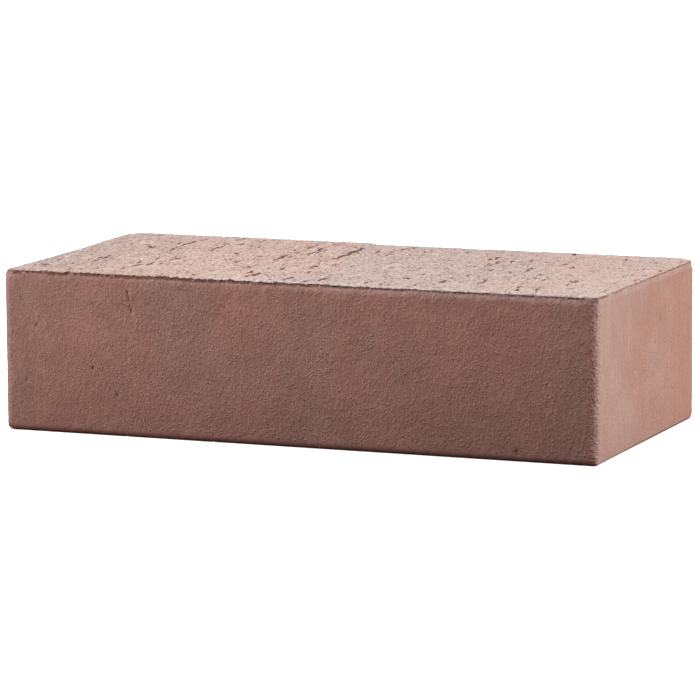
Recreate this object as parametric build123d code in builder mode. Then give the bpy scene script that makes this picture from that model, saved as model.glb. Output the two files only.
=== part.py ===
from build123d import *
import os

# Solid fired clay brick of the standard 250 x 120 x 65 mm format, lying on its lower bed face.
# The clay is pushed through a die as a column and cut across by wires, so the brick is one
# piece: a rounded rectangle drawn up through its height, with a flat cut face at each end.
# Frame: X runs along the length, Y across the width, Z up. The origin is the middle of the
# lower bed face.

# Driving dimensions, in millimetres
length = 250.0  # stretcher faces, along X
width = 120.0  # header faces, along Y
height = 65.0  # from the lower wire cut to the upper one, along Z
die_corner_radius = 3.5  # upright arrises, rounded by the corners of the die
drying_arris_radius = 2.0  # lower arris, pressed round under the wet weight on the drying car
cut_arris_radius = 0.4  # upper arris, left almost sharp by the cutting wire


def edges_at(part, z):
    """The whole outline of the part's flat face at height z."""
    return part.faces().filter_by(Plane.XY).filter_by_position(Axis.Z, z, z).edges()


with BuildPart() as brick:
    with BuildSketch(Plane.XY) as die_mouth:
        Rectangle(length, width)
        fillet(die_mouth.vertices(), die_corner_radius)
    extrude(amount=height)
    fillet(edges_at(brick, 0), drying_arris_radius)
    fillet(edges_at(brick, height), cut_arris_radius)

brick.part.label = "brick"

os.makedirs("parts", exist_ok=True)
export_step(brick.part, "parts/brick.step")

size = brick.part.bounding_box().size
print(f"brick: {size.X:.1f} x {size.Y:.1f} x {size.Z:.1f} mm, {brick.part.volume / 1000:.1f} cm3")
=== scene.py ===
import random
from collections import namedtuple
from math import cos, radians, sin

import bpy
import numpy as np
from mathutils import Matrix, Vector


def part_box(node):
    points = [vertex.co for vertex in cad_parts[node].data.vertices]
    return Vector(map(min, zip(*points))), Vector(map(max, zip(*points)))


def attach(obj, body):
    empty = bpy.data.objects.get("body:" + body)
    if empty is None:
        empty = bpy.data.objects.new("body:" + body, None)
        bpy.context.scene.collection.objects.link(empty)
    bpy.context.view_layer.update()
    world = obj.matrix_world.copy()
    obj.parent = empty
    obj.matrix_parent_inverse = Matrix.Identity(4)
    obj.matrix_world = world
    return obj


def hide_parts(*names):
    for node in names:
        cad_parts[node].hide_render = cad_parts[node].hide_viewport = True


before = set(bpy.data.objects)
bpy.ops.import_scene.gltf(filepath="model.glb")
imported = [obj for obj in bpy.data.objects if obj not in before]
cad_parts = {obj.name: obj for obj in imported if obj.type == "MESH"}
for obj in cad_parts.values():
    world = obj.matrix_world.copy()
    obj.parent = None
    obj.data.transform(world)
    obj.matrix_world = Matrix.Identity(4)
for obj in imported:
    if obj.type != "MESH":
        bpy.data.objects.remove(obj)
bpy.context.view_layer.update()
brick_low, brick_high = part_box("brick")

bl_info = {
    "name": "Fired Clay Brick",
    "version": (1, 0, 0),
    "blender": (4, 5, 0),
    "location": "3D View > Sidebar > Clay Brick",
    "description": "A solid wire-cut brick of fired clay, on a pale studio floor",
    "category": "Object",
}

MM = 0.001
TO_MM = 1000.0
PIECE = "fired_brick"
BAKE_MAP = "OFBake"
# The mesh keeps how deep each point lies, in millimetres, under these names
HOLLOW = "hollow"
CHIPPED = "chipped"


# ---------------------------------------------------------------- what a user would change


class ClayBodySettings(bpy.types.PropertyGroup):
    """Sizes and relief of the brick."""

    die_corner: bpy.props.FloatProperty(
        name="Die corner radius", description="Radius of the upright arrises",
        default=3.5 * MM, min=0.0, unit="LENGTH")
    drying_arris: bpy.props.FloatProperty(
        name="Lower arris radius", description="Radius pressed into the foot of the wet brick",
        default=2.0 * MM, min=0.0, unit="LENGTH")
    cut_arris: bpy.props.FloatProperty(
        name="Upper arris radius", description="Radius that the cutting wire leaves",
        default=0.4 * MM, min=0.0, unit="LENGTH")
    mesh_cell: bpy.props.FloatProperty(
        name="Mesh cell", description="Cell of the fine mesh that the relief is worked into",
        default=0.5 * MM, min=0.2 * MM, unit="LENGTH")
    triangles: bpy.props.IntProperty(
        name="Triangles", description="Triangles left after the mesh is thinned",
        default=192000, min=10000)
    peel_height: bpy.props.FloatProperty(
        name="Skin pebbles", description="Height of the pebbled skin that the die leaves",
        default=0.42 * MM, min=0.0, unit="LENGTH")
    drag_height: bpy.props.FloatProperty(
        name="Wire drag", description="Height of the furrows that the wire drags across the beds",
        default=0.9 * MM, min=0.0, unit="LENGTH")
    grain_height: bpy.props.FloatProperty(
        name="Torn grain", description="Height of the torn grain of the beds",
        default=1.5 * MM, min=0.0, unit="LENGTH")
    seed: bpy.props.IntProperty(
        name="Seed", description="Start of the random places of the small marks", default=11)


class ClayFinishSettings(bpy.types.PropertyGroup):
    """Colours of the fired clay."""

    skin_red: bpy.props.FloatVectorProperty(
        name="Skin, reddish", description="Die skin where the fire left it red",
        subtype="COLOR", size=4, min=0.0, max=1.0, default=(0.474, 0.224, 0.183, 1.0))
    skin_grey: bpy.props.FloatVectorProperty(
        name="Skin, greyish", description="Die skin where the fire starved it of air",
        subtype="COLOR", size=4, min=0.0, max=1.0, default=(0.436, 0.227, 0.187, 1.0))
    cut_pale: bpy.props.FloatVectorProperty(
        name="Cut face, pale", description="Torn clay of the beds",
        subtype="COLOR", size=4, min=0.0, max=1.0, default=(0.565, 0.435, 0.392, 1.0))
    cut_warm: bpy.props.FloatVectorProperty(
        name="Cut face, warm", description="Salmon patches of the beds",
        subtype="COLOR", size=4, min=0.0, max=1.0, default=(0.620, 0.433, 0.368, 1.0))
    end_grey: bpy.props.FloatVectorProperty(
        name="End face, greyish", description="Dusty die skin of the ends, towards the front",
        subtype="COLOR", size=4, min=0.0, max=1.0, default=(0.553, 0.339, 0.287, 1.0))
    end_warm: bpy.props.FloatVectorProperty(
        name="End face, warm", description="Dusty die skin of the ends, towards the back",
        subtype="COLOR", size=4, min=0.0, max=1.0, default=(0.522, 0.278, 0.208, 1.0))
    # Painted shade: this colour darkens the tears, pits, torn groove, lowest grain and the dotted line
    # under the ends' upper arris
    hollow: bpy.props.FloatVectorProperty(
        name="Hollows", description="Clay down in the tears, pits and cracks",
        subtype="COLOR", size=4, min=0.0, max=1.0, default=(0.205, 0.093, 0.069, 1.0))


class StudioSettings(bpy.types.PropertyGroup):
    """Camera, lights and floor."""

    azimuth: bpy.props.FloatProperty(
        name="Azimuth", description="Camera's turn to the right of the front face",
        default=radians(22.32), subtype="ANGLE", unit="ROTATION")
    elevation: bpy.props.FloatProperty(
        name="Elevation", description="Camera's angle above the floor",
        default=radians(8.64), subtype="ANGLE", unit="ROTATION")
    roll: bpy.props.FloatProperty(
        name="Roll", description="Camera's turn about its own axis",
        default=radians(-0.40), subtype="ANGLE", unit="ROTATION")
    distance: bpy.props.FloatProperty(
        name="Distance", description="From the camera to the middle of the brick",
        default=1.7007, min=0.1, unit="LENGTH")
    lens: bpy.props.FloatProperty(
        name="Lens", description="Focal length in millimetres", default=218.3, min=10.0)
    floor: bpy.props.FloatVectorProperty(
        name="Floor", description="Colour of the studio floor",
        subtype="COLOR", size=4, min=0.0, max=1.0, default=(0.86, 0.86, 0.86, 1.0))


# ---------------------------------------------------------------- small helpers


def deselect_all():
    if bpy.context.object and bpy.context.object.mode != "OBJECT":
        bpy.ops.object.mode_set(mode="OBJECT")
    bpy.ops.object.select_all(action="DESELECT")


def make_active(piece):
    deselect_all()
    piece.select_set(True)
    bpy.context.view_layer.objects.active = piece


def bevel_edges(piece, wanted, radius, segments):
    """Rounds the edges of the active piece whose two ends both pass the test."""
    bpy.ops.object.mode_set(mode="EDIT")
    bpy.ops.mesh.select_mode(type="EDGE")
    bpy.ops.mesh.select_all(action="DESELECT")
    bpy.ops.object.mode_set(mode="OBJECT")
    corners = piece.data.vertices
    for edge in piece.data.edges:
        a, b = (corners[i].co for i in edge.vertices)
        edge.select = wanted(a, b)
    bpy.ops.object.mode_set(mode="EDIT")
    bpy.ops.mesh.bevel(offset=radius, segments=segments, affect="EDGES", clamp_overlap=True)
    bpy.ops.object.mode_set(mode="OBJECT")


def add_modifier(piece, kind, name, **settings):
    modifier = piece.modifiers.new(name, kind)
    for key, value in settings.items():
        setattr(modifier, key, value)
    return modifier


def apply_modifier(piece, modifier):
    make_active(piece)
    bpy.ops.object.modifier_apply(modifier=modifier.name)


# Node trees are written as nested calls. Each helper adds one node, feeds it, and gives back
# its output, and a value is either a plain number or colour or another node's output.


def feed(tree, socket, value):
    if isinstance(value, bpy.types.NodeSocket):
        tree.links.new(value, socket)
    elif value is not None:
        socket.default_value = value


def arith(tree, operation, a, b=None):
    node = tree.nodes.new("ShaderNodeMath")
    node.operation = operation
    feed(tree, node.inputs[0], a)
    feed(tree, node.inputs[1], b)
    return node.outputs[0]


def total(tree, first, *rest):
    for value in rest:
        first = arith(tree, "ADD", first, value)
    return first


def times(tree, first, *rest):
    for value in rest:
        first = arith(tree, "MULTIPLY", first, value)
    return first


def scaled(tree, vector, factors):
    """A vector with each of its parts multiplied."""
    node = tree.nodes.new("ShaderNodeVectorMath")
    node.operation = "MULTIPLY"
    feed(tree, node.inputs[0], vector)
    feed(tree, node.inputs[1], factors)
    return node.outputs[0]


def centred(tree, cloud, height):
    """A noise turned into a height above and below nothing."""
    return times(tree, arith(tree, "SUBTRACT", cloud, 0.5), height)


def scaled_by(tree, vector, factor):
    node = tree.nodes.new("ShaderNodeVectorMath")
    node.operation = "SCALE"
    feed(tree, node.inputs[0], vector)
    feed(tree, node.inputs["Scale"], factor)
    return node.outputs[0]


def add_vectors(tree, a, b):
    node = tree.nodes.new("ShaderNodeVectorMath")
    node.operation = "ADD"
    feed(tree, node.inputs[0], a)
    feed(tree, node.inputs[1], b)
    return node.outputs[0]


def parts(tree, vector):
    node = tree.nodes.new("ShaderNodeSeparateXYZ")
    feed(tree, node.inputs[0], vector)
    return node.outputs


# A place on the clay in millimetres: the whole of it, its three parts, and how far it is from
# the middle along the length and across the width
ClayPlace = namedtuple("ClayPlace", "place x y z far_x far_y")


def clay_place(tree, position):
    place = scaled(tree, position, (TO_MM,) * 3)
    x, y, z = parts(tree, place)
    return ClayPlace(place, x, y, z, arith(tree, "ABSOLUTE", x), arith(tree, "ABSOLUTE", y))


def noise(tree, place, size, detail=2.0, roughness=0.5, warp=0.0, stretch=(1, 1, 1), shift=0.0):
    """Cloudy noise from 0 to 1 whose lumps are about size millimetres, longer along stretch."""
    moved = tree.nodes.new("ShaderNodeVectorMath")
    moved.operation = "MULTIPLY_ADD"
    feed(tree, moved.inputs[0], place)
    moved.inputs[1].default_value = tuple(1.0 / (size * s) for s in stretch)
    moved.inputs[2].default_value = (shift, shift * 1.7, shift * 2.3)
    node = tree.nodes.new("ShaderNodeTexNoise")
    node.noise_dimensions = "3D"
    feed(tree, node.inputs["Vector"], moved.outputs[0])
    node.inputs["Scale"].default_value = 1.0
    node.inputs["Detail"].default_value = detail
    node.inputs["Roughness"].default_value = roughness
    node.inputs["Distortion"].default_value = warp
    return node.outputs[0]


def cells(tree, place, size):
    """Distance from the nearest of many scattered points, as a share of their spacing."""
    node = tree.nodes.new("ShaderNodeTexVoronoi")
    feed(tree, node.inputs["Vector"], scaled(tree, place, (1 / size, 1 / size, 1 / size)))
    node.inputs["Scale"].default_value = 1.0
    return node.outputs["Distance"]


def between(tree, value, low, high, at_low=0.0, at_high=1.0):
    """A smooth step of a value, from at_low at low to at_high at high."""
    node = tree.nodes.new("ShaderNodeMapRange")
    node.interpolation_type = "SMOOTHSTEP"
    for socket, number in zip(node.inputs, (value, low, high, at_low, at_high)):
        feed(tree, socket, number)
    return node.outputs[0]


def blend_colour(tree, share, a, b):
    """Colour a, turning into colour b as the share goes from 0 to 1."""
    node = tree.nodes.new("ShaderNodeMix")
    node.data_type = "RGBA"
    feed(tree, node.inputs[0], share)
    feed(tree, node.inputs[6], a)
    feed(tree, node.inputs[7], b)
    return node.outputs[2]


def new_group(kind, name, inputs, outputs):
    """A node group with named sockets, each given as (name, type)."""
    tree = bpy.data.node_groups.new(name, kind)
    for label, socket in inputs:
        tree.interface.new_socket(name=label, in_out="INPUT", socket_type=socket)
    for label, socket in outputs:
        tree.interface.new_socket(name=label, in_out="OUTPUT", socket_type=socket)
    return tree, tree.nodes.new("NodeGroupInput").outputs, tree.nodes.new("NodeGroupOutput").inputs


# ---------------------------------------------------------------- marks of the wire, die and handling

# Each mark is a line in the clay, in millimetres: where it starts, where it ends, its width and
# its depth. A pit is a very short line.
# On the upper bed, by length along and width across from its middle
UPPER_BED_TEARS = (
    ((-86, 47), (-86, 24), 1.1, 0.9),
    ((-86, 24), (-85, 10), 1.0, 0.5),
    ((-70, 38), (-69, 17), 1.0, 0.5),
    ((-34, 55), (-32, 28), 1.1, 0.7),
    ((-27, 43), (-26, 17), 1.15, 0.9),
    ((-12, 46), (-11, 10), 1.25, 1.1),
    ((-33, 12), (-33, 0), 1.5, 1.0),
    ((-101, -10), (-100, -30), 1.5, 1.0),
    ((-98, 22), (-97, 17), 1.3, 0.7),
    ((-56, 16), (-55, 12), 1.4, 0.7),
    ((-82, -22), (-81, -28), 1.2, 0.8),
    ((-76, -23), (-74, -34), 1.2, 0.7),
    ((-114, -42), (-114, -45), 1.6, 0.8),
    ((-27, -35), (-27, -40), 1.2, 0.8),
    ((-23, -38), (-22, -48), 1.1, 0.7),
    ((-10, -12), (-9, -16), 1.9, 1.2),
    ((-4, -2), (-4, -6), 1.4, 0.8),
    ((-6, -45), (-6, -55), 1.2, 0.8),
    ((8, -42), (8, -52), 1.2, 0.8),
    ((4, 51), (4, 43), 1.6, 1.0),
    ((31, 51), (31, 47), 1.8, 0.9),
    ((74.6, 57.4), (75.6, 53.5), 2.2, 2.3),
    ((55, 28), (54, 8), 1.3, 0.8),
    ((60, 2), (60, -3), 1.3, 0.8),
    ((54, -34), (54, -41), 1.5, 1.0),
    ((39, -33), (39, -36), 1.5, 0.8),
    ((48, 33), (48, 28), 1.4, 0.6),
    ((102, -13), (103, -32), 1.2, 0.6),
    ((69, -28), (70, -40), 1.0, 0.6),
    ((95, -40), (97, -52), 1.1, 0.6),
    ((89, -46), (90, -57), 1.0, 0.6),
    ((-51, 2), (-51, -8), 1.1, 0.5),
)
# On the front face, by length along and height above the floor
FRONT_MARKS = (
    ((-70.4, 58.6), (-68.1, 49.6), 0.85, 0.38),
    ((-118.0, 55.5), (-116.5, 52.5), 0.8, 0.2),
    ((-86.0, 27.5), (-86.0, 26.0), 1.1, 0.3),
    ((-97.5, 30.0), (-97.5, 29.5), 0.9, 0.25),
    ((-110.0, 43.5), (-110.5, 42.0), 1.0, 0.25),
    ((-115.0, 21.5), (-115.0, 20.5), 1.0, 0.25),
    ((-76.0, 17.5), (-74.0, 16.0), 0.9, 0.3),
    ((92.5, 5.0), (92.7, 2.4), 0.8, 0.35),
)
# On the right end, by width across and height above the floor
RIGHT_END_MARKS = (
    ((9.0, 38.2), (10.2, 37.6), 0.9, 0.5),
    ((29.5, 16.5), (31.0, 16.5), 0.9, 0.4),
    ((-15.0, 30.6), (-14.0, 30.4), 0.8, 0.4),
)
# Knocked corners: signs of the corner along X, Y and Z, reach and depth in millimetres
CHIPS = (
    ((1, 1, 1), 3.8, 2.3),
    ((1, 1, -1), 2.8, 0.8),
    ((-1, -1, 1), 3.2, 1.3),
    ((-1, -1, -1), 2.2, 0.7),
    ((-1, 1, 1), 3.0, 0.9),
    ((-1, 1, -1), 2.5, 0.7),
)
# Marks that lie at random
SMALL_TEARS_ON_BED = 330
PITS_ON_LONG_SIDE = 26
PITS_ON_END = 7
PITS_CLEAR_OF_BEDS = 4.0


def bed_point(across, z):
    return Vector((across[0], across[1], z))


def scattered_tears(rng, count, half, z):
    """Small tears at random over a bed, most of them short, all drawn along the wire's way."""
    made = []
    for _ in range(count):
        x = rng.uniform(-half.x, half.x)
        y = rng.uniform(-half.y, half.y)
        long = 0.8 + 9.0 * rng.random() ** 3
        lean = rng.uniform(-0.15, 0.15)
        depth = rng.uniform(0.3, 0.6)
        start = Vector((x, y, z))
        made.append((start, start + Vector((lean * long, long, 0)), rng.uniform(0.8, 1.35), depth))
    return made


def scattered_pits(rng, half, height):
    """Small pits at random over the long sides and the ends."""
    low, high = PITS_CLEAR_OF_BEDS, height - PITS_CLEAR_OF_BEDS
    made = []
    for side in (-1, 1):
        for _ in range(PITS_ON_LONG_SIDE):
            at = Vector((rng.uniform(-half.x, half.x), side * half.y, rng.uniform(low, high)))
            made.append((at, at + Vector((0.3, 0, 0.8)), rng.uniform(0.8, 1.2), rng.uniform(0.1, 0.2)))
        for _ in range(PITS_ON_END):
            at = Vector((side * half.x, rng.uniform(-half.y, half.y), rng.uniform(low, high)))
            made.append((at, at + Vector((0, 0.2, 0.8)), rng.uniform(0.8, 1.0), rng.uniform(0.12, 0.22)))
    return made


def all_marks(rng, half, height):
    """Every mark as (start, end, width, depth) in millimetres in the row frame."""
    marks = [(bed_point(a, height), bed_point(b, height), w, d) for a, b, w, d in UPPER_BED_TEARS]
    marks += scattered_tears(rng, SMALL_TEARS_ON_BED, half, height)
    marks += scattered_tears(rng, SMALL_TEARS_ON_BED, half, 0.0)
    for (x0, z0), (x1, z1), w, d in FRONT_MARKS:
        marks.append((Vector((x0, -half.y, z0)), Vector((x1, -half.y, z1)), w, d))
    for (y0, z0), (y1, z1), w, d in RIGHT_END_MARKS:
        marks.append((Vector((half.x, y0, z0)), Vector((half.x, y1, z1)), w, d))
    return marks + scattered_pits(rng, half, height)


def all_chips(half, height):
    """Knocked corners, as marks with no length."""
    made = []
    for signs, reach, depth in CHIPS:
        corner = Vector((signs[0] * half.x, signs[1] * half.y, height if signs[2] > 0 else 0.0))
        made.append((corner, corner, 2 * reach, depth))
    return made


def depth_of_marks(points, marks, steepness):
    """How deep, in millimetres, the marks sink each point; a steep mark has a flat floor."""
    x, y, z = points.T
    # The marks are read from points that wander a little, so that none of them runs straight
    wander = 0.3
    wavy = points + wander * np.stack(
        [np.sin(y / 1.9 + 2.0 * np.sin(x / 6.1)) + 0.6 * np.sin(y / 0.6 + x),
         np.sin(x / 1.7 + z / 2.3),
         np.sin(x / 2.1 + 1.3 * np.sin(y / 3.7))], axis=1)
    order = np.argsort(x)
    sorted_x = x[order]
    hollow = np.zeros(len(points))
    for start, end, width, depth in marks:
        first = np.searchsorted(sorted_x, min(start.x, end.x) - 1.5 * width)
        last = np.searchsorted(sorted_x, max(start.x, end.x) + 1.5 * width)
        near = order[first:last]
        p = wavy[near]
        a, along = np.array(start), np.array(end - start)
        length2 = float(along @ along)
        share = np.clip((p - a) @ along / length2, 0, 1) if length2 > 0 else np.full(len(p), 0.5)
        off = np.linalg.norm(p - a - share[:, None] * along, axis=1)
        taper = 0.55 + 0.45 * np.sin(np.pi * share)
        ragged = 1 + 0.3 * np.sin(p[:, 1] * 1.7 + start.x) * np.sin(p[:, 0] * 2.3 + start.y)
        profile = np.clip(steepness * (1 - (off / (0.6 * width * taper * ragged)) ** 2), 0, 1)
        hollow[near] = np.maximum(hollow[near], depth * profile)
    return hollow


def mesh_points(piece):
    flat = np.empty(len(piece.data.vertices) * 3, np.float32)
    piece.data.vertices.foreach_get("co", flat)
    return flat.reshape(-1, 3).astype(float) * TO_MM


def sink_marks(piece, rng, half, height):
    """Writes the depth of tears and pits as the attribute hollow, and of knocks as chipped."""
    points = mesh_points(piece)
    store_values(piece, HOLLOW, depth_of_marks(points, all_marks(rng, half, height), steepness=1.8))
    store_values(piece, CHIPPED, depth_of_marks(points, all_chips(half, height), steepness=1.0))


def store_values(piece, name, values):
    layer = piece.data.attributes.new(name, "FLOAT", "POINT")
    layer.data.foreach_set("value", np.asarray(values, np.float32))


def square_corner(piece, radius, sharp_radius, half, height):
    """Draws the front right arris out to a smaller radius in its last millimetres, up and down."""
    points = mesh_points(piece)
    spare, fade, reach = radius - sharp_radius, 6.0, 2.2
    at_top, at_foot = 0.6, 0.4
    ends = np.clip(np.abs(points[:, 2] - height / 2) - (height / 2 - reach), 0, 1)
    ends *= (points[:, 0] > 0) & (points[:, 1] < 0)
    ends *= np.where(points[:, 2] > height / 2, at_top, at_foot)
    out = np.clip((np.abs(points[:, :2]) - (np.array(half) - radius)) / radius, 0, 1)
    close = np.clip(1 - (np.array(half) - radius - np.abs(points[:, :2])) / fade, 0, 1)
    pull = spare * (1 - out) * close * close[:, ::-1] * (out[:, ::-1] > 0) * ends[:, None]
    points[:, :2] += np.sign(points[:, :2]) * pull
    piece.data.vertices.foreach_set("co", (points * MM).astype(np.float32).ravel())


def thin_mesh(piece, triangles):
    """Thins the mesh everywhere but in the tears, pits and torn arrises, which stay fine."""
    fine_from = 0.16  # millimetres of depth
    sunk = np.empty(len(piece.data.vertices), np.float32)
    piece.data.attributes[HOLLOW].data.foreach_get("value", sunk)
    keep = piece.vertex_groups.new(name="keep")
    keep.add(np.nonzero(sunk > fine_from)[0].tolist(), 1.0, "REPLACE")
    made = 2 * len(piece.data.polygons)
    apply_modifier(piece, add_modifier(
        piece, "DECIMATE", "Thinning", ratio=min(1.0, triangles / made), use_collapse_triangulate=True,
        vertex_group=keep.name, invert_vertex_group=True))
    piece.vertex_groups.remove(piece.vertex_groups["keep"])


# ---------------------------------------------------------------- relief of the clay, in geometry nodes


def named_value(tree, name):
    node = tree.nodes.new("GeometryNodeInputNamedAttribute")
    node.inputs["Name"].default_value = name
    return node.outputs[0]


def bed_relief(tree, where, body, half, grain, swell):
    """Furrows along the wire's way, torn grain and a broad swell: heights of the upper and lower bed."""
    place, x, y, far_x, far_y = where.place, where.x, where.y, where.far_x, where.far_y
    furrows = noise(tree, place, 1.9, 3.0, 0.6, 0.4, stretch=(1, 9, 1), shift=3.1)
    calm_rim = times(tree, between(tree, far_x, half.x - 6, half.x - 1, 1.0, 0.45),
                     between(tree, y, half.y - 8, half.y - 2, 1.0, 0.4))
    bed_height = times(tree, calm_rim, total(
        tree,
        centred(tree, furrows, body.drag_height * TO_MM),
        centred(tree, grain, body.grain_height * TO_MM),
        centred(tree, swell, 0.3),
    ))
    # The far left of the upper bed stands proud of the rest and ends in a torn step
    step_edge = arith(tree, "ADD", x, between(tree, noise(tree, place, 6.0, 2.0), 0, 1, -4, 4))
    left_of_step = between(tree, step_edge, -11.0, -13.5)
    far = between(tree, y, 6.0, 40.0)
    proud = times(tree, left_of_step, far, 0.55)
    # Its left rim falls away, more so towards the front
    rim = times(tree, between(tree, x, 3.5 - half.x, -half.x),
                between(tree, y, half.y, -half.y, 0.35, 0.9))
    upper_height = arith(tree, "SUBTRACT", arith(tree, "ADD", bed_height, proud), rim)
    # The lower bed is only hollowed, and its rim is calm
    inside = times(tree, between(tree, far_x, half.x - 3, half.x - 7),
                   between(tree, far_y, half.y - 3, half.y - 7))
    lower_height = times(tree, inside,
                         arith(tree, "MINIMUM", arith(tree, "SUBTRACT", bed_height, 0.12), 0.0))
    return upper_height, lower_height


def skin_relief(tree, where, body, half, swell):
    """Low pebbles, longer upright, stronger in patches and calmer on the ends, and crumbly arrises."""
    place, far_x, far_y = where.place, where.far_x, where.far_y
    pebbles = noise(tree, place, 2.0, 2.0, 0.55, stretch=(1, 1, 2.0), shift=5.0)
    patches = noise(tree, place, 26.0, 2.0, 0.5, shift=8.8)
    strength = times(tree, between(tree, patches, 0.35, 0.65, 0.55, 1.2),
                     between(tree, far_x, half.x - 3, half.x, 1.0, 0.5))
    crumbs = noise(tree, place, 1.15, 2.0, 0.6, 0.3, shift=1.9)
    by_arris = times(tree, between(tree, far_x, half.x - 5, half.x - 1.5),
                     between(tree, far_y, half.y - 6, half.y - 1.5))
    nubs = between(tree, cells(tree, place, 3.4), 0.3, 0.08, 0.0, 0.13)
    return total(
        tree,
        times(tree, strength,
              total(tree, centred(tree, pebbles, body.peel_height * TO_MM), nubs)),
        times(tree, centred(tree, crumbs, 0.55), by_arris),
        centred(tree, swell, 0.08),
    )


def torn_arris(tree, where, half, height):
    """The wire drags a thin broken burr over the upper arris, with a torn groove under it."""
    place, x, y, z = where.place, where.x, where.y, where.z
    broken = noise(tree, place, 1.7, 3.0, 0.65, 0.3, shift=2.2)
    long_waves = noise(tree, place, 17.0, 2.0, 0.5, shift=6.6)
    burr = times(tree, between(tree, z, height - 0.85, height - 0.35),
                 between(tree, broken, 0.35, 0.62, 0.0, 0.3))
    on_front = times(tree, between(tree, y, 3 - half.y, -half.y),
                     between(tree, x, half.x - 7, half.x - 2.5, 1.0, 0.1))
    wide = between(tree, x, -20, 50, 0.75, 0.36)
    line = total(tree, z, centred(tree, broken, 1.1),
                 between(tree, long_waves, 0.2, 0.8, 1.35 - height, 0.8 - height))
    band = between(tree, arith(tree, "SUBTRACT", arith(tree, "ABSOLUTE", line), wide), 0.15, -0.25)
    torn = times(tree, between(tree, broken, 0.62, 0.44),
                 between(tree, long_waves, 0.32, 0.5, 0.6, 1.0))
    groove = times(tree, band, torn, times(tree, on_front, 0.42))
    return burr, groove


def relief_group(body, half, height):
    """Geometry nodes that push every point of the smooth block into the relief of fired clay."""
    tree, given, result = new_group(
        "GeometryNodeTree", "Clay relief",
        [("Geometry", "NodeSocketGeometry")], [("Geometry", "NodeSocketGeometry")])
    where = clay_place(tree, tree.nodes.new("GeometryNodeInputPosition").outputs[0])
    place, z = where.place, where.z
    normal = tree.nodes.new("GeometryNodeInputNormal").outputs[0]
    sunk = named_value(tree, HOLLOW)
    chipped = named_value(tree, CHIPPED)

    upper = between(tree, z, height - 1.0, height - 0.2)
    lower = between(tree, z, 1.2, 0.1)
    skin = arith(tree, "SUBTRACT", 1.0, arith(tree, "MAXIMUM", upper, lower))
    grain = noise(tree, place, 2.1, 3.0, 0.65, 0.2, stretch=(1, 1.6, 1), shift=7.9)
    swell = noise(tree, place, 38.0, 2.0, 0.5, shift=1.3)
    upper_height, lower_height = bed_relief(tree, where, body, half, grain, swell)
    burr, groove = torn_arris(tree, where, half, height)
    skin_height = skin_relief(tree, where, body, half, swell)
    skin_push = arith(tree, "ADD", times(tree, skin_height, skin), burr)

    # Along the normal on the skin, straight up or down on the beds
    nx, ny, nz = parts(tree, normal)
    sideways = tree.nodes.new("ShaderNodeCombineXYZ")
    feed(tree, sideways.inputs[0], nx)
    feed(tree, sideways.inputs[1], ny)
    on_skin = scaled_by(tree, sideways.outputs[0], arith(tree, "SUBTRACT", skin_push, groove))
    upright = tree.nodes.new("ShaderNodeCombineXYZ")
    feed(tree, upright.inputs[2], nz)
    bed_push = arith(tree, "ADD", times(tree, upper_height, upper),
                     times(tree, lower_height, lower))
    on_bed = scaled_by(tree, upright.outputs[0], bed_push)
    in_marks = scaled_by(tree, normal, times(tree, total(tree, sunk, chipped), -1.0))
    offset = add_vectors(tree, add_vectors(tree, on_skin, on_bed), in_marks)

    # The torn groove and the lowest grain count as hollows too, so the material paints shade into them
    pits = times(tree, between(tree, grain, 0.36, 0.26, 0.0, 0.4),
                 arith(tree, "SUBTRACT", 1.0, skin))
    store = tree.nodes.new("GeometryNodeStoreNamedAttribute")
    store.data_type = "FLOAT"
    store.domain = "POINT"
    store.inputs["Name"].default_value = HOLLOW
    deepest = arith(tree, "MAXIMUM", arith(tree, "MAXIMUM", sunk, groove), pits)
    feed(tree, store.inputs["Value"], deepest)
    move = tree.nodes.new("GeometryNodeSetPosition")
    # The offset is worked out from the depths as they came, before they are stored anew
    capture = tree.nodes.new("GeometryNodeCaptureAttribute")
    capture.capture_items.new("VECTOR", "offset")
    feed(tree, capture.inputs["Geometry"], given["Geometry"])
    feed(tree, capture.inputs["offset"], scaled(tree, offset, (MM,) * 3))
    feed(tree, store.inputs["Geometry"], capture.outputs["Geometry"])
    feed(tree, move.inputs["Geometry"], store.outputs["Geometry"])
    feed(tree, move.inputs["Offset"], capture.outputs["offset"])
    feed(tree, result["Geometry"], move.outputs[0])
    return tree


# ---------------------------------------------------------------- finish of the clay

DARK_FOOT = (0.20, 0.088, 0.066, 1.0)
DUST = (0.66, 0.47, 0.41, 1.0)
DARK_GRAIN = (0.225, 0.120, 0.098, 1.0)
PALE_GRAIN = (0.80, 0.69, 0.64, 1.0)
DULL_CUT = (0.42, 0.335, 0.305, 1.0)
# Painted shade for the back arrises, which turn away from the light
RIM_SHADE = (0.33, 0.27, 0.25, 1.0)
RED_FRINGE = (0.42, 0.14, 0.10, 1.0)


def patch(tree, u, v, centre, reach):
    """1 at a centre on a face, falling off to 0 at its reach in millimetres."""
    du = arith(tree, "SUBTRACT", u, centre[0])
    dv = arith(tree, "SUBTRACT", v, centre[1])
    away = arith(tree, "SQRT", total(tree, times(tree, du, du), times(tree, dv, dv)))
    return between(tree, away, reach, reach * 0.2)


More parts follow.
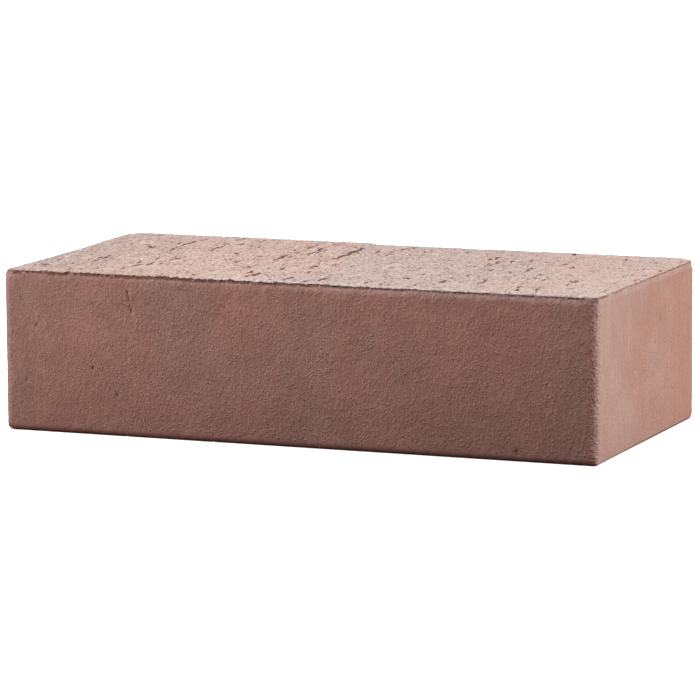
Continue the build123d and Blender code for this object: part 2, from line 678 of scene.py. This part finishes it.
def clay_faces(tree, where, half, height):
    """How far a point belongs to an end and not a long side, and to a bed and not the skin."""
    place, x, y, z, far_x, far_y = where.place, where.x, where.y, where.z, where.far_x, where.far_y
    ragged = between(tree, noise(tree, place, 1.6, 3.0, 0.6, shift=4.4), 0, 1, -0.6, 0.6)
    # The front's colour wraps round the left arris, and stops at the right one
    on_end = times(tree, between(tree, far_x, half.x - 1.9, half.x - 0.1),
                   arith(tree, "MAXIMUM", between(tree, x, -10, 10),
                         between(tree, far_y, half.y - 2.2, half.y - 4.5)))
    # The pale clay starts a little higher on the ends and at the left of the front
    at_left = times(tree, between(tree, y, 1.2 - half.y, 0.3 - half.y),
                    between(tree, x, -20, -70))
    start = total(tree, z, ragged, times(tree, on_end, -0.35),
                  times(tree, at_left, -0.5))
    upper = between(tree, start, height - 0.9, height - 0.4)
    lower = between(tree, arith(tree, "ADD", z, ragged), 0.7, 0.2)
    bed = arith(tree, "MAXIMUM", upper, lower)
    return on_end, bed


def crumbly_arrises(tree, where, on_end, half, height):
    """1 along the arrises where the clay crumbles, less so towards the left."""
    x, y, z, far_x, far_y = where.x, where.y, where.z, where.far_x, where.far_y
    by_arris = times(tree, between(tree, far_x, half.x - 4, half.x - 1.5),
                     between(tree, far_y, half.y - 6, half.y - 1.5))
    by_top = times(tree, between(tree, z, height - 4.5, height - 1.5),
                   between(tree, y, 40, -50, 0.2, 0.8))
    by_arris = arith(tree, "MAXIMUM", by_arris, times(tree, by_top, on_end))
    return times(tree, by_arris, between(tree, x, -half.x, half.x, 0.3, 1.0))


def skin_patches(tree, where, on_end, finish, half):
    """Patches of red and grey, painted shade darkening them towards the foot, and paler ends."""
    place, x, y, z = where.place, where.x, where.y, where.z
    mottle = noise(tree, place, 30.0, 3.0, 0.55, 0.6, shift=6.0)
    grey_spots = arith(tree, "MAXIMUM", patch(tree, x, z, (-50, 59), 25),
                       patch(tree, x, z, (118, 48), 34))
    red_spots = arith(tree, "MAXIMUM", patch(tree, x, z, (-88, 10), 26),
                      patch(tree, x, z, (76, 40), 34))
    shade = total(tree, mottle, times(tree, grey_spots, 0.16),
                  times(tree, red_spots, -0.16))
    skin = blend_colour(tree, between(tree, shade, 0.36, 0.64), finish.skin_red, finish.skin_grey)
    # Painted shade: the skin darkens towards the foot, where the light on it falls off
    skin = blend_colour(tree, between(tree, z, 44.0, 2.0, 0.0, 0.28), skin, DARK_FOOT)
    # Ends: paler, greyer towards the front and warmer towards the back
    run = total(tree, arith(tree, "DIVIDE", y, 2 * half.y), centred(tree, mottle, 1.6), 0.3)
    ends = blend_colour(tree, between(tree, run, -0.2, 0.6), finish.end_grey, finish.end_warm)
    return blend_colour(tree, on_end, skin, ends)


def skin_dust(tree, where, on_end, skin, streaks, tips):
    """Clouds, upright streaks of the die, a little more painted shade towards the foot, and dust on the
    tips of the pebbles.
    """
    place, z = where.place, where.z
    clouds = noise(tree, place, 13.0, 3.0, 0.6, 0.3, shift=3.7)
    cloudy = times(tree, between(tree, clouds, 0.35, 0.65, 0.24, 0.0),
                   between(tree, on_end, 0, 1, 1.0, 0.7))
    skin = blend_colour(tree, cloudy, skin, DARK_FOOT)
    streaky = times(tree, between(tree, streaks, 0.35, 0.65, 0.14, 0.0),
                    between(tree, clouds, 0.35, 0.6, 0.3, 1.0))
    skin = blend_colour(tree, streaky, skin, DARK_FOOT)
    # A little more painted shade towards the foot
    skin = blend_colour(tree, between(tree, z, 26.0, 3.0, 0.0, 0.07), skin, DARK_FOOT)
    skin = blend_colour(tree, between(tree, tips, 0.52, 0.68, 0.0, 0.16), skin, DUST)
    return blend_colour(tree, between(tree, tips, 0.44, 0.30, 0.0, 0.12), skin, DARK_FOOT)


def skin_crumbs(tree, where, on_end, skin, crumbs, by_arris, half):
    """A painted reddish fringe on the front side of the right arris, where its light turns to shade, and
    crumbly arrises.
    """
    x = where.x
    # Painted light: the reddish fringe where light turns to shade on the rounded arris
    red_terminator_fringe = times(tree, between(tree, x, half.x - 4.2, half.x - 2.6, 0.0, 0.4),
                      between(tree, on_end, 0, 0.6, 1.0, 0.0))
    skin = blend_colour(tree, red_terminator_fringe, skin, RED_FRINGE)
    pale_crumbs = times(tree, by_arris, between(tree, crumbs, 0.52, 0.60, 0.0, 0.48))
    dark_crumbs = times(tree, by_arris, between(tree, crumbs, 0.46, 0.34, 0.0, 0.18))
    skin = blend_colour(tree, pale_crumbs, skin, DUST)
    return blend_colour(tree, dark_crumbs, skin, DARK_FOOT)


def skin_rims(tree, where, on_end, skin, half, height):
    """A paler lip under the upper arris, painted shade on the downturned lower arris, painted floor light
    on the lower arris of the ends, a painted contact shadow at their foot, and painted shade on the back
    arris of the ends.
    """
    x, y, z = where.x, where.y, where.z
    lip_shade = times(tree, between(tree, z, height - 4.0, height - 2.2, 0.0, 0.33),
                      between(tree, x, -20.0, 50.0, 0.35, 1.0))
    skin = blend_colour(tree, lip_shade, skin, DUST)
    left_lip = times(tree, between(tree, z, height - 3.8, height - 2.6, 0.0, 0.16),
                     between(tree, x, -30.0, -90.0))
    skin = blend_colour(tree, left_lip, skin, DARK_FOOT)
    # Painted shade on the lower arris, which turns down away from the light
    foot = times(tree, between(tree, z, 2.7, 1.9, 0.0, 0.6), between(tree, on_end, 0, 1, 1.0, 0.25))
    # Painted light: the lower arris of the ends is lightened as if by light bounced up from the floor
    end_bounce_light = times(tree, between(tree, z, 3.0, 1.5, 0.0, 0.4), on_end)
    skin = blend_colour(tree, end_bounce_light, skin, DUST)
    # Painted contact shadow: a dark line along the foot of the ends
    end_contact_shadow = times(tree, between(tree, z, 1.7, 1.2, 0.0, 0.75),
                     times(tree, on_end, between(tree, y, -40, -5)))
    skin = blend_colour(tree, arith(tree, "MAXIMUM", foot, end_contact_shadow), skin, DARK_FOOT)
    # Painted shade on the back arris of the ends
    back_arris_shade = times(tree, between(tree, y, half.y - 4.2, half.y - 2.2, 0.0, 0.5), on_end)
    return blend_colour(tree, back_arris_shade, skin, RIM_SHADE)


def skin_dots(tree, where, on_end, skin, finish, height):
    """A thin dotted line of painted shadow under the burr of the upper arris of the ends."""
    place, z = where.place, where.z
    wander = noise(tree, place, 5.0, 3.0, 0.6, shift=2.9)
    dots = noise(tree, place, 1.3, 2.0, 0.6, shift=0.7)
    line = between(tree, wander, 0.2, 0.8, height - 0.9, height - 0.3)
    off_line = arith(tree, "ABSOLUTE", arith(tree, "SUBTRACT", z, line))
    dotted = times(tree, between(tree, off_line, 0.5, 0.15), between(tree, dots, 0.42, 0.52, 0.1, 1.0))
    return blend_colour(tree, times(tree, dotted, on_end), skin, finish.hollow)


def die_skin(tree, where, on_end, knocked, finish, half, height):
    """The colour of the sides and ends, and their relief that is too small for the mesh."""
    place = where.place
    streaks = noise(tree, place, 0.9, 2.0, 0.6, stretch=(1, 1, 14), shift=5.5)
    tips = noise(tree, place, 0.62, 2.0, 0.6, stretch=(1, 1, 3.0), shift=1.1)
    crumbs = noise(tree, place, 0.95, 2.0, 0.6, 0.1, shift=1.9)
    by_arris = crumbly_arrises(tree, where, on_end, half, height)
    skin = skin_patches(tree, where, on_end, finish, half)
    skin = skin_dust(tree, where, on_end, skin, streaks, tips)
    skin = skin_crumbs(tree, where, on_end, skin, crumbs, by_arris, half)
    skin = skin_rims(tree, where, on_end, skin, half, height)
    skin = blend_colour(tree, between(tree, knocked, 0.1, 0.7, 0.0, 0.6), skin, DARK_FOOT)
    skin = skin_dots(tree, where, on_end, skin, finish, height)
    return skin, fine_pebbles(tree, where, on_end, streaks, tips, crumbs, by_arris)


def fine_pebbles(tree, where, on_end, streaks, tips, crumbs, by_arris):
    """Height of the skin's smallest pebbles, grit, crumbs and streaks, in millimetres."""
    place, x, z = where.place, where.x, where.z
    orange_peel = noise(tree, place, 1.7, 2.0, 0.5, stretch=(1, 1, 2.2), shift=9.7)
    grit = between(tree, cells(tree, place, 1.2), 0.5, 0.05, 0.0, 0.15)
    calm = times(tree, between(tree, x, -118, -30, 0.65, 1.0),
                 between(tree, z, 2.4, 3.4, 0.3, 1.0))
    peel = times(tree, centred(tree, orange_peel, 0.3), between(tree, on_end, 0, 1, 1.0, 0.7))
    calm = times(tree, calm, between(tree, on_end, 0, 1, 1.0, 0.85))
    return total(
        tree,
        times(tree, total(tree, centred(tree, tips, 0.28), grit, peel), calm),
        times(tree, centred(tree, crumbs, 0.65), by_arris),
        times(tree, centred(tree, streaks, 0.24), on_end),
    )


def cut_clay(tree, where, finish, half):
    """The colour of the beds, and their relief that is too small for the mesh."""
    place = where.place
    torn = noise(tree, place, 1.05, 3.0, 0.7, 0.3, stretch=(1, 2.4, 1), shift=7.9)
    fine_grain = noise(tree, place, 0.6, 2.0, 0.7, shift=3.3)
    fine = total(tree, centred(tree, torn, 2.4), centred(tree, fine_grain, 0.9))
    return bed_colour(tree, where, torn, finish, half), fine


def bed_colour(tree, where, torn, finish, half):
    """Salmon and pale patches, with dark and pale specks of torn grain that follow its bumps: partly the
    grain's own colour, partly painted shade in its low places and painted highlight on its high places;
    and painted shade along its back rim.
    """
    place, x, y = where.place, where.x, where.y
    warmth = noise(tree, place, 42.0, 2.0, 0.5, 0.4, shift=2.7)
    grey_band = times(tree, between(tree, x, -24, 8), between(tree, x, 96, 56))
    warm_left = between(tree, x, -15, -30, 0.0, 0.14)
    warmth = total(tree, warmth, times(tree, grey_band, -0.2), warm_left)
    cut = blend_colour(tree, between(tree, warmth, 0.28, 0.5), finish.cut_pale, finish.cut_warm)
    cut = blend_colour(tree, between(tree, x, -60, -122, 0.0, 0.55), cut, DULL_CUT)
    cut = blend_colour(tree, between(tree, x, 60, 120, 0.0, 0.16), cut, PALE_GRAIN)
    blotches = noise(tree, place, 4.2, 3.0, 0.6, 0.4, stretch=(1, 2.5, 1), shift=8.1)
    # The specks follow the bump's torn grain: dark in its low places as painted shade, over the grain's
    # own dark specks
    depth = total(tree, torn, centred(tree, blotches, 0.42))
    specks = times(tree, between(tree, depth, 0.48, 0.33), between(tree, x, 60, 115, 0.8, 0.5))
    cut = blend_colour(tree, specks, cut, DARK_GRAIN)
    # Pale on the high places of the grain as painted highlight, over the grain's own pale specks
    cut = blend_colour(tree, between(tree, depth, 0.53, 0.70, 0.0, 0.75), cut, PALE_GRAIN)
    by_rim = times(tree, between(tree, y, 3.0 - half.y, 0.8 - half.y),
                   between(tree, x, -80, -20, 0.0, 1.0))
    by_rim = times(tree, by_rim, between(tree, torn, 0.33, 0.5, 0.2, 0.8))
    cut = blend_colour(tree, by_rim, cut, PALE_GRAIN)
    cut = blend_colour(tree, between(tree, y, -10, 40, 0.0, 0.1), cut, finish.end_warm)
    # Painted shade along the back rim of the bed
    far_rim_shade = between(tree, y, half.y - 3.0, half.y - 0.8, 0.0, 0.4)
    return blend_colour(tree, far_rim_shade, cut, RIM_SHADE)


def stored_depth(tree, name):
    """A depth that the mesh keeps, in millimetres."""
    node = tree.nodes.new("ShaderNodeAttribute")
    node.attribute_name = name
    return node.outputs["Fac"]


def clay_material(finish, half, height):
    """Die skin on the sides, torn clay on the beds, and painted shade down in the hollows."""
    material = bpy.data.materials.new("fired clay")
    material.use_nodes = True
    tree = material.node_tree
    shader = tree.nodes["Principled BSDF"]
    where = clay_place(tree, tree.nodes.new("ShaderNodeTexCoord").outputs["Object"])
    x, z = where.x, where.z
    on_end, bed = clay_faces(tree, where, half, height)
    skin, fine_skin = die_skin(tree, where, on_end, stored_depth(tree, CHIPPED), finish, half, height)
    cut, fine_bed = cut_clay(tree, where, finish, half)
    sunk = stored_depth(tree, HOLLOW)

    colour = blend_colour(tree, bed, skin, cut)
    # Painted shade in the hollows, strongest on the beds and under the front's upper arris, where it
    # stands for the burr's shadow
    dark = arith(tree, "MAXIMUM", between(tree, bed, 0, 1, 0.55, 0.9),
                 times(tree, between(tree, z, height - 3.5, height - 2.5),
                       between(tree, x, -20, 30, 0.75, 0.55)))
    hollow_shade_share = times(tree, between(tree, sunk, 0.04, 0.25), dark)
    colour = blend_colour(tree, hollow_shade_share, colour, finish.hollow)
    feed(tree, shader.inputs["Base Color"], colour)
    feed(tree, shader.inputs["Roughness"], between(tree, bed, 0, 1, 0.62, 0.9))
    feed(tree, shader.inputs["Specular IOR Level"], between(tree, hollow_shade_share, 0, 0.5, 0.35, 0.05))

    # Relief too small for the mesh
    fine = tree.nodes.new("ShaderNodeMix")
    feed(tree, fine.inputs[0], bed)
    feed(tree, fine.inputs[2], fine_skin)
    feed(tree, fine.inputs[3], fine_bed)
    bump = tree.nodes.new("ShaderNodeBump")
    bump.inputs["Strength"].default_value = 1.0
    bump.inputs["Distance"].default_value = MM
    feed(tree, bump.inputs["Height"], fine.outputs[0])
    feed(tree, shader.inputs["Normal"], bump.outputs[0])
    return material


# ---------------------------------------------------------------- operators


class BRICK_OT_fired_brick(bpy.types.Operator):
    """Models the brick: block, rounded arrises, fine mesh, marks, relief and finish"""

    bl_idname = "brick.fired_brick"
    bl_label = "Fired brick"
    bl_options = {"REGISTER", "UNDO"}

    def execute(self, context):
        body, finish = context.scene.clay_body, context.scene.clay_finish
        size = brick_high - brick_low
        middle = (brick_low + brick_high) / 2
        near = 1e-6
        sharp_corner = 1.5  # millimetres
        deselect_all()
        bpy.ops.mesh.primitive_cube_add(size=1.0, location=middle, scale=size)
        piece = context.object
        piece.name = PIECE
        piece.data.name = PIECE
        bpy.ops.object.transform_apply(location=True, rotation=True, scale=True)

        bevel_edges(piece, lambda a, b: abs(a.z - b.z) > size.z / 2, body.die_corner, segments=6)
        bevel_edges(piece, lambda a, b: max(a.z, b.z) < brick_low.z + near, body.drying_arris, segments=5)
        bevel_edges(piece, lambda a, b: min(a.z, b.z) > brick_high.z - near, body.cut_arris, segments=2)

        apply_modifier(piece, add_modifier(piece, "REMESH", "Fine mesh", mode="VOXEL",
                                           voxel_size=body.mesh_cell, adaptivity=0.0))
        lay_bake_map(piece)
        height = size.z * TO_MM
        half = Vector((size.x, size.y)) * TO_MM / 2
        square_corner(piece, body.die_corner * TO_MM, sharp_corner, half, height)
        sink_marks(piece, random.Random(body.seed), half, height)
        apply_modifier(piece, add_modifier(piece, "NODES", "Relief",
                                           node_group=relief_group(body, half, height)))
        thin_mesh(piece, body.triangles)
        make_active(piece)
        bpy.ops.object.shade_smooth_by_angle(angle=radians(50))
        piece.data.materials.clear()
        piece.data.materials.append(clay_material(finish, half, height))

        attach(piece, "root")
        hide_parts("brick")
        return {"FINISHED"}


def lay_bake_map(piece):
    """Lays out the six faces flat while they are still smooth."""
    make_active(piece)
    bpy.ops.object.mode_set(mode="EDIT")
    bpy.ops.mesh.select_all(action="SELECT")
    bpy.ops.uv.smart_project(angle_limit=radians(66), island_margin=0.004, rotate_method="AXIS_ALIGNED")
    bpy.ops.object.mode_set(mode="OBJECT")
    piece.data.uv_layers[0].name = BAKE_MAP


class BRICK_OT_studio(bpy.types.Operator):
    """Sets the floor, the lights and the camera"""

    bl_idname = "brick.studio"
    bl_label = "Studio"
    bl_options = {"REGISTER", "UNDO"}

    def execute(self, context):
        studio = context.scene.clay_studio
        add_floor(studio)
        add_world()
        add_lights()
        add_camera(studio)
        context.scene.view_settings.view_transform = "Standard"
        return {"FINISHED"}


def add_floor(studio):
    deselect_all()
    bpy.ops.mesh.primitive_plane_add(size=12.0, location=(0, 0, brick_low.z))
    floor = bpy.context.object
    floor.name = "studio_floor"
    material = bpy.data.materials.new("studio floor")
    material.use_nodes = True
    shader = material.node_tree.nodes["Principled BSDF"]
    shader.inputs["Base Color"].default_value = studio.floor
    shader.inputs["Roughness"].default_value = 0.9
    shader.inputs["Emission Color"].default_value = (1, 1, 1, 1)
    shader.inputs["Emission Strength"].default_value = 0.8
    floor.data.materials.append(material)
    floor.visible_diffuse = False
    floor.visible_glossy = False


def add_world():
    """A white surround that is seen in full but lights only softly."""
    world = bpy.data.worlds.new("studio")
    bpy.context.scene.world = world
    world.use_nodes = True
    tree = world.node_tree
    tree.nodes.clear()
    seen = tree.nodes.new("ShaderNodeBackground")
    seen.inputs[0].default_value = (1, 1, 1, 1)
    seen.inputs[1].default_value = 1.0
    soft = tree.nodes.new("ShaderNodeBackground")
    direction = tree.nodes.new("ShaderNodeTexCoord").outputs["Generated"]
    up = parts(tree, direction)[2]
    below, above = (0.1, 0.08, 0.08, 1), (1, 1, 1, 1)
    feed(tree, soft.inputs[0], blend_colour(tree, between(tree, up, -0.1, 0.3), below, above))
    soft.inputs[1].default_value = 0.22
    mix = tree.nodes.new("ShaderNodeMixShader")
    feed(tree, mix.inputs[0], tree.nodes.new("ShaderNodeLightPath").outputs["Is Camera Ray"])
    feed(tree, mix.inputs[1], soft.outputs[0])
    feed(tree, mix.inputs[2], seen.outputs[0])
    feed(tree, tree.nodes.new("ShaderNodeOutputWorld").inputs[0], mix.outputs[0])


def add_light(name, place, aim, width, depth, power, colour):
    deselect_all()
    bpy.ops.object.light_add(type="AREA", location=place)
    light = bpy.context.object
    light.name = name
    light.data.shape = "RECTANGLE"
    light.data.size = width
    light.data.size_y = depth
    light.data.energy = power
    light.data.color = colour
    light.rotation_euler = (Vector(aim) - Vector(place)).to_track_quat("-Z", "Y").to_euler()
    light.visible_camera = False


def add_lights():
    middle = (0, 0, 0.03)
    white, warm = (1, 1, 1), (1, 0.97, 0.95)
    add_light("right_side", (1.4, 0.1, 0.35), middle, 0.8, 0.8, 12.9, white)
    add_light("over_right", (1.0, 0.1, 1.2), middle, 1.0, 1.0, 5.5, white)
    add_light("right_back", (1.0, 0.9, 0.7), middle, 0.8, 0.8, 6.5, white)
    add_light("left_back", (-0.6, 1.0, 0.88), middle, 0.8, 0.8, 18.8, white)
    add_light("left_rake", (-0.58, -0.24, 0.2), (-0.02, -0.06, 0.04), 0.3, 0.3, 2.69, warm)
    add_light("front_fill", (0.0, -0.32, 0.42), (0.0, -0.06, 0.05), 0.4, 0.2, 1.07, warm)


def add_camera(studio):
    data = bpy.data.cameras.new("camera")
    camera = bpy.data.objects.new("camera", data)
    bpy.context.scene.collection.objects.link(camera)
    data.lens = studio.lens
    data.sensor_width = 36.0
    data.clip_start = 0.05
    data.clip_end = 50.0
    a, e = studio.azimuth, studio.elevation
    back = Vector((sin(a) * cos(e), -cos(a) * cos(e), sin(e)))
    # A little below the middle of the brick
    aim = Vector((-0.19, -0.48, 30.03)) * MM
    turn = (-back).to_track_quat("-Z", "Y").to_matrix() @ Matrix.Rotation(studio.roll, 3, "Z")
    camera.matrix_world = Matrix.Translation(aim + back * studio.distance) @ turn.to_4x4()
    bpy.context.scene.camera = camera


class BRICK_PT_sidebar(bpy.types.Panel):
    """Sizes, colours and steps of the brick"""

    bl_label = "Clay Brick"
    bl_idname = "BRICK_PT_sidebar"
    bl_space_type = "VIEW_3D"
    bl_region_type = "UI"
    bl_category = "Clay Brick"

    def draw(self, context):
        scene = context.scene
        steps = (
            (scene.clay_body, BRICK_OT_fired_brick),
            (scene.clay_finish, None),
            (scene.clay_studio, BRICK_OT_studio),
        )
        for settings, step in steps:
            box = self.layout.box()
            for name in settings.__annotations__:
                box.prop(settings, name)
            if step:
                box.operator(step.bl_idname)


CLASSES = (
    ClayBodySettings,
    ClayFinishSettings,
    StudioSettings,
    BRICK_OT_fired_brick,
    BRICK_OT_studio,
    BRICK_PT_sidebar,
)


def register():
    for kind in CLASSES:
        bpy.utils.register_class(kind)
    bpy.types.Scene.clay_body = bpy.props.PointerProperty(type=ClayBodySettings)
    bpy.types.Scene.clay_finish = bpy.props.PointerProperty(type=ClayFinishSettings)
    bpy.types.Scene.clay_studio = bpy.props.PointerProperty(type=StudioSettings)


def unregister():
    del bpy.types.Scene.clay_studio
    del bpy.types.Scene.clay_finish
    del bpy.types.Scene.clay_body
    for kind in reversed(CLASSES):
        bpy.utils.unregister_class(kind)


def main():
    register()
    bpy.ops.brick.studio()
    bpy.ops.brick.fired_brick()


if __name__ == "__main__":
    main()
